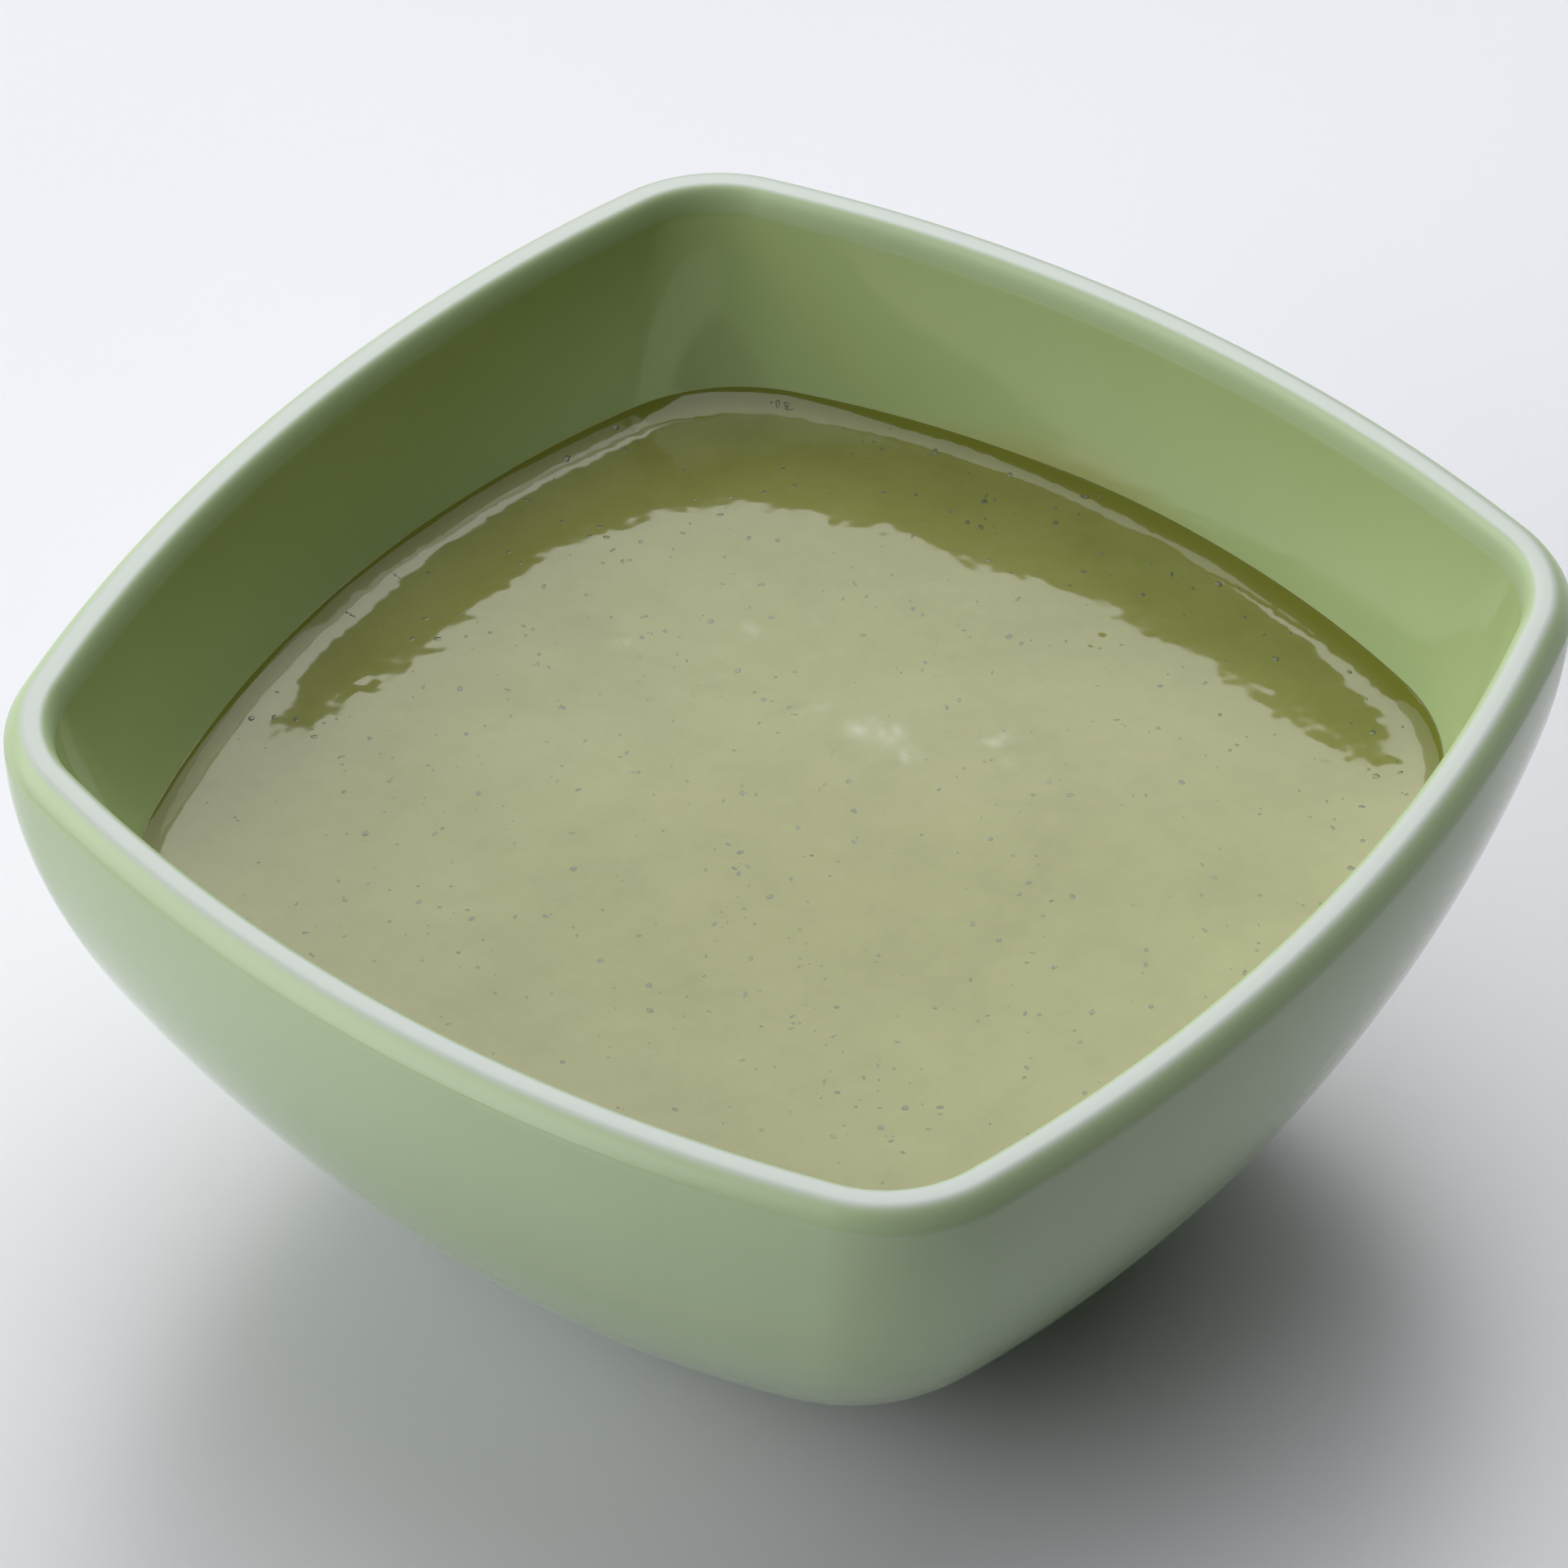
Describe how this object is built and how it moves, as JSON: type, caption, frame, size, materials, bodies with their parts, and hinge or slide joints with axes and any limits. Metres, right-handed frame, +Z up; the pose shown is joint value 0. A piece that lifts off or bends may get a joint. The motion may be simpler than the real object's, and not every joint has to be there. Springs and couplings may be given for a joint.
{
  "type": "bowl of aji verde",
  "caption": "Small square glazed ceramic bowl with bowed sides and soft corners, filled two thirds with a smooth green pepper and herb sauce.",
  "frame": {"origin": "middle of the foot ring, on the surface that the bowl stands on", "axes": "+Z up; X and Y run across the flats of the square, so the corners lie on the diagonals; the side towards -Y is at the left front in the picture"},
  "size_m": [0.1248, 0.1272, 0.063],
  "materials": {
    "green_glaze": "gloss",
    "green_sauce": "gloss"
  },
  "bodies": {
    "root": {"bowl": "green_glaze", "aji_verde": "green_sauce"}
  },
  "joints": []
}
